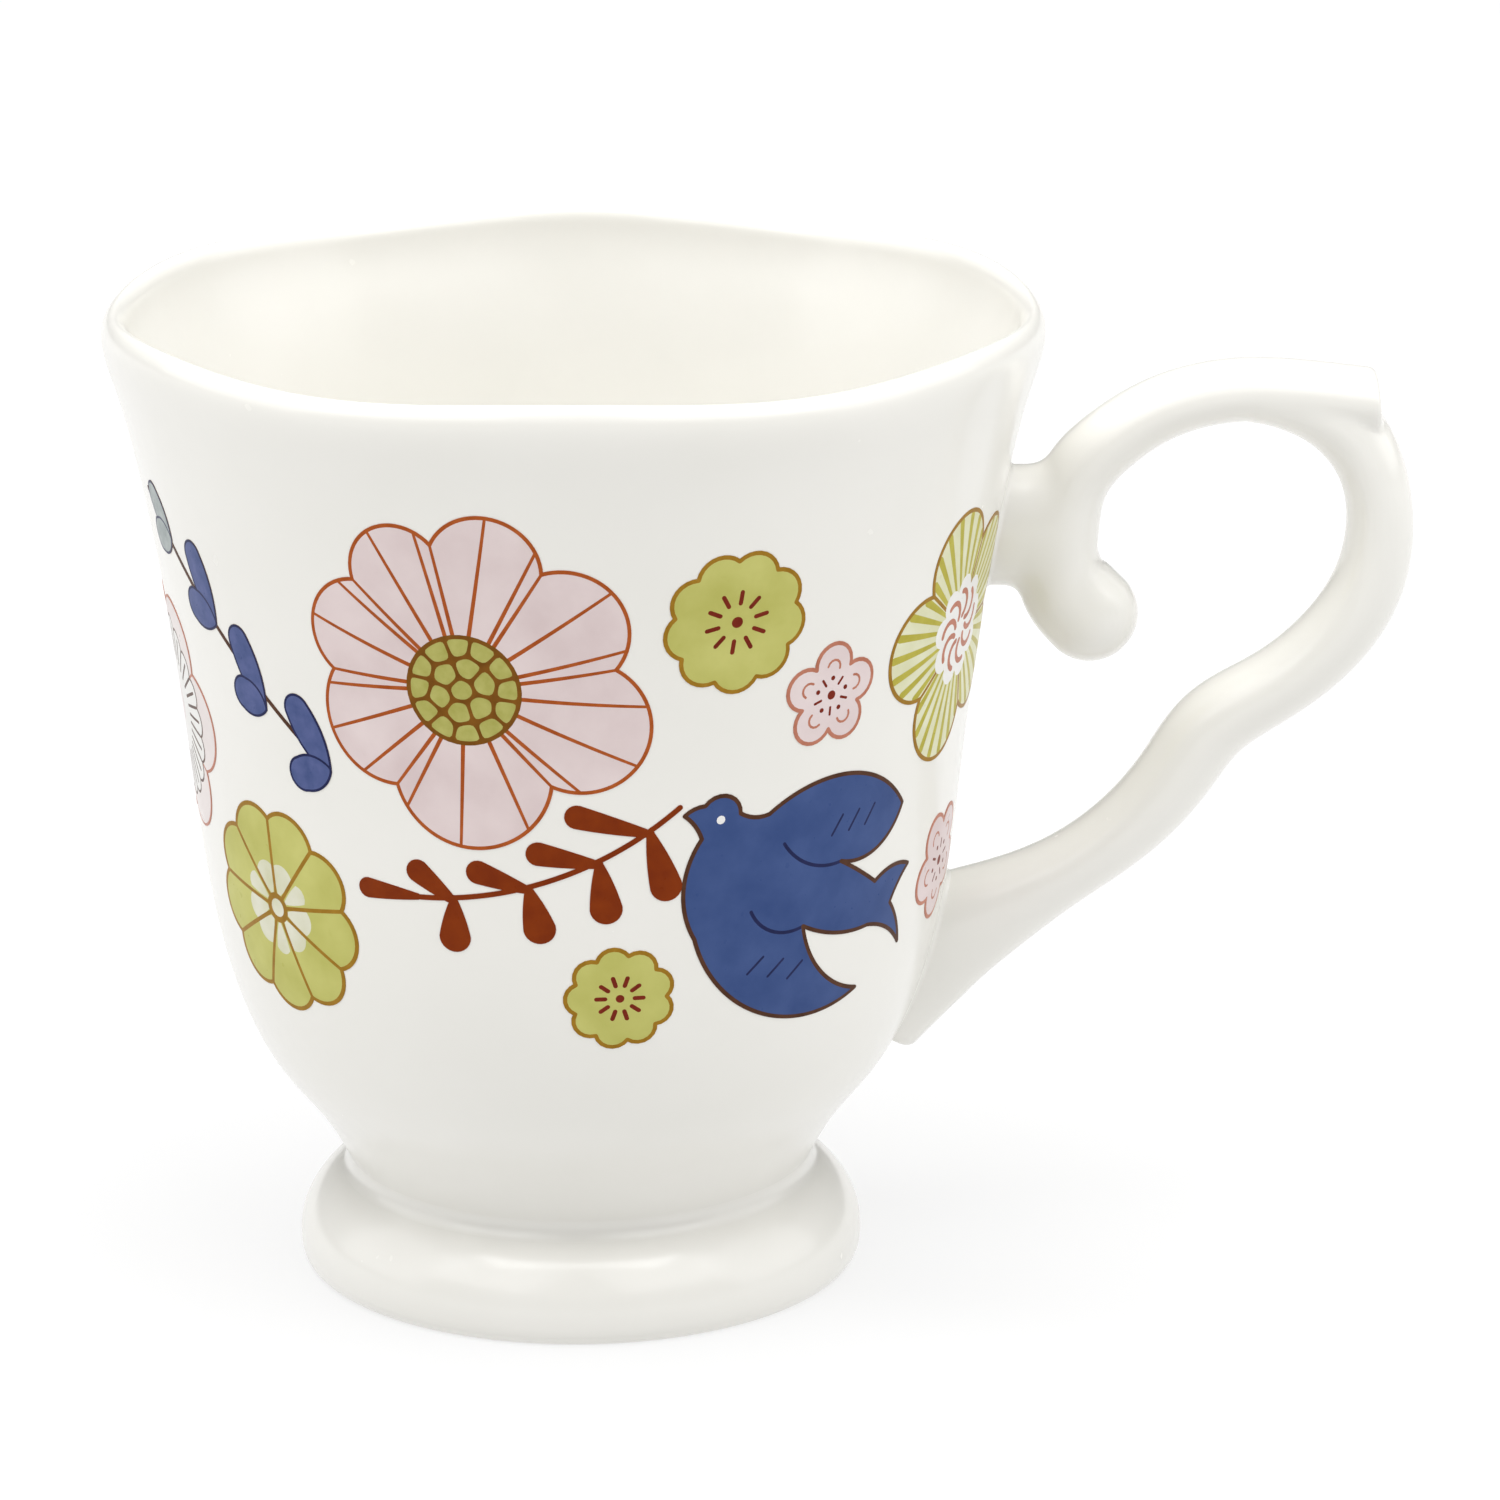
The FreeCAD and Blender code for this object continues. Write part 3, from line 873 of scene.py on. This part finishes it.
def fold_flat(layers):
    """Cuts overlapping shapes into triangles, each with the name of the top layer on it."""
    corners, faces, owner = [], [], []
    for name, shapes in layers:
        for shape in shapes:
            if turned_area(shape) < 0:
                shape = shape[::-1]
            faces.append(list(range(len(corners), len(corners) + len(shape))))
            corners.extend(shape.tolist())
            owner.append(name)
    edge = np.array(corners)
    low, high = edge.min(0), edge.max(0)
    spots = []
    for row, y in enumerate(np.arange(low[1], high[1], print_grid * 0.87)):
        for x in np.arange(low[0] + (row % 2) * print_grid / 2, high[0], print_grid):
            if ((edge - (x, y)) ** 2).sum(1).min() > (0.3 * print_grid) ** 2:
                spots.append((x, y))
    everything = [Vector(p) for p in corners + spots]
    points, _, triangles, _, _, sources = geometry.delaunay_2d_cdt(everything, [], faces, 0, 1e-5, True)
    kept, names = [], []
    for triangle, source in zip(triangles, sources):
        if source:
            kept.append(list(triangle))
            names.append(owner[max(source)])
    return np.array([tuple(p) for p in points]), kept, names


def bend_round(flat, azimuth, height, proud):
    """A flat drawing's points, bent round the wall and stood off it."""
    mean = float(wall_radius(height))
    across = mean * np.sin(flat[:, 0] / mean)
    z = height + flat[:, 1]
    r = wall_radius(z)
    turn = math.radians(azimuth) + np.arcsin(across / r)
    slope = (wall_radius(z + 0.1) - wall_radius(z - 0.1)) / 0.2
    leaning = np.hypot(1, slope)
    out_r = r + proud / leaning
    out_z = z - proud * slope / leaning
    return np.stack([out_r * np.cos(turn), out_r * np.sin(turn), out_z], 1)


def make_print(name, folded, azimuth, height, materials):
    """A thin closed skin: the drawing's triangles on top, the same below, and sides between."""
    flat, triangles, names = folded
    used = sorted({v for t in triangles for v in t})
    number = {v: k for k, v in enumerate(used)}
    flat = flat[used]
    count = len(used)
    top, sides = [], []
    directed = set()
    for triangle in triangles:
        a, b, c = (number[v] for v in triangle)
        area = np.cross(flat[b] - flat[a], flat[c] - flat[a])
        if area < 0:
            b, c = c, b
        top.append([a, b, c])
        directed.update([(a, b), (b, c), (c, a)])
    rim = [(a, b) for a, b in directed if (b, a) not in directed]
    for a, b in sorted(rim):
        sides.append([a, a + count, b + count, b])
    bottom = [[c + count, b + count, a + count] for a, b, c in top]
    points = np.concatenate([
        bend_round(flat, azimuth, height, print_top),
        bend_round(flat, azimuth, height, -print_root),
    ])
    slots = sorted(set(names))
    piece = new_piece(name, points, top + bottom + sides, *[materials[slot] for slot in slots])
    index = [slots.index(n) for n in names]
    side_ink = [slots.index(names[0])] * len(sides)
    piece.data.polygons.foreach_set("material_index", index + index + side_ink)
    edges = {frozenset(pair) for pair in rim}
    sharpen(piece, lambda a, b: frozenset((a % count, b % count)) in edges)
    return piece


# ------------------------------------------------------------ materials
def shader(name, roughness, **constants):
    material = bpy.data.materials.new(name)
    material.use_nodes = True
    node = material.node_tree.nodes["Principled BSDF"]
    node.inputs["Roughness"].default_value = roughness
    for socket, value in constants.items():
        node.inputs[socket.replace("_", " ")].default_value = value
    return material, material.node_tree, node


def noise(tree, scale, detail, seed=0.0):
    """Noise over the object's own coordinates; scale is in cycles per metre."""
    source = tree.nodes.new("ShaderNodeTexCoord")
    texture = tree.nodes.new("ShaderNodeTexNoise")
    texture.noise_dimensions = "4D"
    texture.inputs["W"].default_value = seed
    texture.inputs["Scale"].default_value = scale
    texture.inputs["Detail"].default_value = detail
    tree.links.new(source.outputs["Object"], texture.inputs["Vector"])
    return texture.outputs["Fac"]


def between(tree, factor, low, high):
    """A colour ramp between two colours."""
    ramp = tree.nodes.new("ShaderNodeValToRGB")
    for element, position, colour in zip(ramp.color_ramp.elements, (0.3, 0.7), (low, high)):
        element.position = position
        element.color = (*colour, 1)
    tree.links.new(factor, ramp.inputs["Fac"])
    return ramp.outputs["Color"]


def scaled(tree, factor, low, high):
    """A factor stretched over a range."""
    mapped = tree.nodes.new("ShaderNodeMapRange")
    mapped.inputs["To Min"].default_value = low
    mapped.inputs["To Max"].default_value = high
    tree.links.new(factor, mapped.inputs["Value"])
    return mapped.outputs["Result"]


def bump(tree, node, height, distance):
    """Relief on a shader, with its depth in metres."""
    ridge = tree.nodes.new("ShaderNodeBump")
    ridge.inputs["Strength"].default_value = 1.0
    ridge.inputs["Distance"].default_value = distance
    tree.links.new(height, ridge.inputs["Height"])
    tree.links.new(ridge.outputs["Normal"], node.inputs["Normal"])


def glazed_porcelain():
    """Warm white body under a clear gloss glaze that pools and thins very slightly."""
    material, tree, node = shader(
        "glazed_porcelain", 0.25, IOR=1.5, Coat_Weight=0.35, Coat_Roughness=0.06, Coat_IOR=1.5,
    )
    body = between(tree, noise(tree, 55, 4), (0.80, 0.788, 0.74), (0.825, 0.812, 0.768))
    tree.links.new(body, node.inputs["Base Color"])
    tree.links.new(scaled(tree, noise(tree, 420, 3, 2.0), 0.20, 0.30), node.inputs["Roughness"])
    bump(tree, node, noise(tree, 70, 2, 5.0), 0.00006)
    return material


def bare_biscuit():
    """The unglazed ring under the foot: matt, fine-grained and a little darker."""
    material, tree, node = shader("bare_biscuit", 0.85)
    body = between(tree, noise(tree, 2600, 6), (0.62, 0.585, 0.52), (0.76, 0.73, 0.67))
    tree.links.new(body, node.inputs["Base Color"])
    bump(tree, node, noise(tree, 5200, 4, 3.0), 0.00005)
    return material


def ink(name, dark, light, grain, seed):
    """A fired print: thin colour with the slight unevenness of a screen print."""
    roughness = 0.3
    material, tree, node = shader(f"ink_{name}", roughness, Specular_IOR_Level=0.08)
    tree.links.new(between(tree, noise(tree, grain, 5, seed), dark, light), node.inputs["Base Color"])
    uneven = scaled(tree, noise(tree, grain * 4, 2, seed + 1), roughness * 0.7, roughness * 1.4)
    tree.links.new(uneven, node.inputs["Roughness"])
    bump(tree, node, noise(tree, grain * 3, 3, seed + 2), 0.00001)
    return material


# Each ink as (dark colour, light colour, grain in cycles per metre, noise seed).
inks = {
    "pink": ((0.66, 0.545, 0.54), (0.76, 0.655, 0.645), 160, 1),
    "pale_pink": ((0.72, 0.65, 0.635), (0.79, 0.73, 0.71), 160, 14),
    "rose": ((0.42, 0.15, 0.09), (0.52, 0.21, 0.14), 900, 2),
    "rust": ((0.33, 0.065, 0.008), (0.43, 0.10, 0.02), 900, 3),
    "rust_leaf": ((0.175, 0.021, 0.0005), (0.23, 0.034, 0.001), 500, 4),
    "seed_gap": ((0.15, 0.055, 0.003), (0.22, 0.085, 0.008), 900, 5),
    "seed_green": ((0.37, 0.355, 0.085), (0.47, 0.455, 0.14), 900, 15),
    "green": ((0.46, 0.45, 0.115), (0.56, 0.55, 0.175), 220, 6),
    "pale_green": ((0.60, 0.60, 0.40), (0.74, 0.73, 0.62), 260, 16),
    "striped_green": ((0.64, 0.64, 0.40), (0.73, 0.73, 0.53), 300, 17),
    "stripe": ((0.40, 0.35, 0.035), (0.50, 0.45, 0.07), 500, 8),
    "olive": ((0.28, 0.14, 0.008), (0.36, 0.19, 0.018), 900, 7),
    "white": ((0.78, 0.77, 0.74), (0.83, 0.82, 0.80), 300, 9),
    "blue": ((0.035, 0.068, 0.20), (0.055, 0.094, 0.245), 260, 10),
    "leaf_blue": ((0.055, 0.082, 0.215), (0.10, 0.125, 0.29), 700, 18),
    "grey_leaf": ((0.26, 0.30, 0.30), (0.42, 0.46, 0.45), 700, 19),
    "dark_blue": ((0.010, 0.014, 0.06), (0.018, 0.022, 0.085), 700, 11),
    "brown": ((0.060, 0.022, 0.010), (0.10, 0.04, 0.02), 700, 12),
    "dark_red": ((0.15, 0.012, 0.004), (0.21, 0.022, 0.008), 700, 13),
}


# ------------------------------------------------------------ the pieces
def place(piece, slot, *nodes):
    """Fixes a finished piece to the cup, where it stands for the CAD nodes."""
    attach(piece, "root")
    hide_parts(*nodes)


def make_porcelain():
    glaze = glazed_porcelain()
    axis_floor = [(floor_flat_radius * 0.5, floor_height), (0.0, floor_height)]
    axis_base = [(base_radius * share, base_height) for share in (0.0, 0.5, 0.97)]
    bowl = new_piece("bowl_body", *revolve(axis_base + wall.tolist() + axis_floor, waved=True), glaze)
    outward(bowl)
    place(bowl, "glazed_porcelain", "bowl")

    ring = spline(foot_outside, 8, (1.0, 0.0)).tolist() + spline(foot_inside, 6).tolist()
    foot = new_piece("pedestal_foot", *revolve(ring, closed=True), glaze, bare_biscuit())
    bare = []
    for polygon in foot.data.polygons:
        top = max(foot.data.vertices[v].co.z for v in polygon.vertices)
        bare.append(1 if top < resting_depth * MM else 0)
    foot.data.polygons.foreach_set("material_index", bare)
    outward(foot)
    place(foot, "foot_porcelain", "foot")

    handle = make_handle(glaze)
    outward(handle)
    place(handle, "glazed_porcelain", "handle")

    for name, height, node in (
        ("upper_slip_fillet", stub_height, "upper_handle_joint_slip"),
        ("lower_slip_fillet", lower_joint_height, "lower_handle_joint_slip"),
    ):
        bead = fillet_ring(name, joint_outline(height), handle_field, bowl_field, joint_fillet, glaze)
        place(bead, "glazed_slip", node)

    foot_rows = spline(foot_outside, fine_rows, (1.0, 0.0))

    def foot_field(points):
        return profile_field(points, foot_rows)

    azimuth = np.arange(around) * 2 * math.pi / around
    crease = np.full(around, (base_height + foot_top) / 2)
    start = np.stack([base_radius * np.cos(azimuth), base_radius * np.sin(azimuth), crease], 1)
    bead = fillet_ring("foot_slip_fillet", start, foot_field, bowl_field, foot_fillet, glaze)
    place(bead, "glazed_slip", "foot_joint_slip")

    layer_outline = three_point_arc(*slip_layer_arc, 0.12).tolist() + slip_layer_hidden
    layer = new_piece("foot_slip_layer", *revolve(layer_outline, closed=True), glaze)
    outward(layer)
    place(layer, "glazed_slip", "foot_joint_slip")


drawings = {
    "big_flower": big_flower(),
    "scalloped_blossom": scalloped_blossom(6.75, 0.85, 9, 12),
    "small_scalloped_blossom": scalloped_blossom(5.0, 0.7, 9, 0),
    "five_petal_blossom": pink_blossom(5.0, 3.3, 54),
    "edge_blossom": pink_blossom(5.6, 3.9, 18),
    "striped_flower": striped_flower(12.4, 8.4, 74),
    "pale_flower": pale_flower(12.0, 9.4, 30),
    "nine_petal_flower": nine_petal_flower(10.1, 8.8, 10),
    "leaf_sprig": rust_sprig(),
    "blue_sprig": blue_sprig(),
    "bird": flying_bird(),
}

# Each print as (name, drawing, azimuth in degrees, height, material slot).
prints = [
    ("front_pink_flower", "big_flower", -103.6, 67.0, "pink_enamel"),
    ("front_green_blossom", "scalloped_blossom", -67.4, 73.0, "green_enamel"),
    ("front_small_pink_blossom", "five_petal_blossom", -51.8, 64.4, "pink_enamel"),
    ("front_striped_flower", "striped_flower", -22.5, 66.4, "green_enamel"),
    ("front_low_pink_blossom", "edge_blossom", -17.5, 42.7, "pink_enamel"),
    ("front_blue_bird", "bird", -52.2, 46.0, "blue_enamel"),
    ("front_rust_sprig", "leaf_sprig", -97.4, 49.9, "rust_enamel"),
    ("front_small_green_blossom", "small_scalloped_blossom", -82.4, 37.0, "green_enamel"),
    ("front_green_flower", "nine_petal_flower", -139.4, 42.0, "green_enamel"),
    ("front_blue_sprig", "blue_sprig", -143.4, 67.0, "blue_enamel"),
    ("front_pale_flower", "pale_flower", -170.5, 57.0, "pink_enamel"),
    ("back_pink_flower", "big_flower", 76.4, 67.0, "pink_enamel"),
    ("back_green_blossom", "scalloped_blossom", 112.6, 73.0, "green_enamel"),
    ("back_small_pink_blossom", "five_petal_blossom", 128.2, 64.4, "pink_enamel"),
    ("back_striped_flower", "striped_flower", 153.5, 67.4, "green_enamel"),
    ("back_low_pink_blossom", "edge_blossom", 159.0, 42.7, "pink_enamel"),
    ("back_blue_bird", "bird", 127.4, 45.6, "blue_enamel"),
    ("back_rust_sprig", "leaf_sprig", 82.2, 49.9, "rust_enamel"),
    ("back_small_green_blossom", "small_scalloped_blossom", 97.6, 37.0, "green_enamel"),
    ("back_green_flower", "nine_petal_flower", 40.6, 42.0, "green_enamel"),
    ("back_blue_sprig", "blue_sprig", 36.6, 67.0, "blue_enamel"),
]


def make_prints():
    materials = {name: ink(name, *look) for name, look in inks.items()}
    folded = {name: fold_flat(layers) for name, layers in drawings.items()}
    for name, drawing, azimuth, height, slot in prints:
        piece = make_print(f"print_{name}", folded[drawing], azimuth, height, materials)
        place(piece, slot, f"transfer_{name}")


# ------------------------------------------------------------ stage
def make_stage():
    """A pale floor, large enough to fill every view."""
    half = 3.0
    corners = [(-half, -half, 0), (half, -half, 0), (half, half, 0), (-half, half, 0)]
    mesh = bpy.data.meshes.new("floor")
    mesh.from_pydata(corners, [], [(0, 1, 2, 3)])
    floor = bpy.data.objects.new("floor", mesh)
    bpy.context.scene.collection.objects.link(floor)
    material, _, node = shader("floor_paper", 0.9)
    node.inputs["Base Color"].default_value = (0.25, 0.25, 0.25, 1)
    node.inputs["Specular IOR Level"].default_value = 0.1
    node.inputs["Emission Color"].default_value = (1, 1, 1, 1)
    node.inputs["Emission Strength"].default_value = 0.67
    mesh.materials.append(material)


def soft_box(name, location, target, size, power):
    """A rectangular studio light, turned to its target; sizes in metres and power in watts."""
    light = bpy.data.lights.new(name, "AREA")
    light.shape = "RECTANGLE"
    light.size, light.size_y = size
    light.energy = power
    lamp = bpy.data.objects.new(name, light)
    lamp.location = location
    lamp.rotation_euler = (Vector(target) - Vector(location)).to_track_quat("-Z", "Y").to_euler()
    bpy.context.scene.collection.objects.link(lamp)


def make_light():
    scene = bpy.context.scene
    world = bpy.data.worlds.new("studio")
    world.use_nodes = True
    sky = world.node_tree.nodes["Background"]
    sky.inputs["Color"].default_value = (1, 1, 1, 1)
    sky.inputs["Strength"].default_value = 0.25
    scene.world = world
    middle = (0.01, 0, 0.05)
    soft_box("top", (0, 0, 1.8), middle, (2.0, 2.0), 45.0)
    for side, name in ((-1, "left"), (1, "right")):
        soft_box(f"side_{name}", (1.6 * side, 0, 0.9), middle, (1.6, 1.6), 8.5)
        soft_box(f"front_{name}", (0.9 * side, -1.0, 1.3), middle, (1.4, 1.2), 7.0)
    scene.view_settings.view_transform = "Standard"
    scene.view_settings.look = "None"


def make_camera():
    """Looks down a little from above the rim, with the handle on the right."""
    downward = 16.57
    data = bpy.data.cameras.new("camera")
    data.sensor_width = 36.0
    data.lens = 157.85
    camera = bpy.data.objects.new("camera", data)
    camera.location = (0.01641, -0.600, 0.22876)
    camera.rotation_euler = (math.radians(90 - downward), 0, 0)
    bpy.context.scene.collection.objects.link(camera)
    bpy.context.scene.camera = camera


make_camera()
make_stage()
make_light()
make_porcelain()
make_prints()
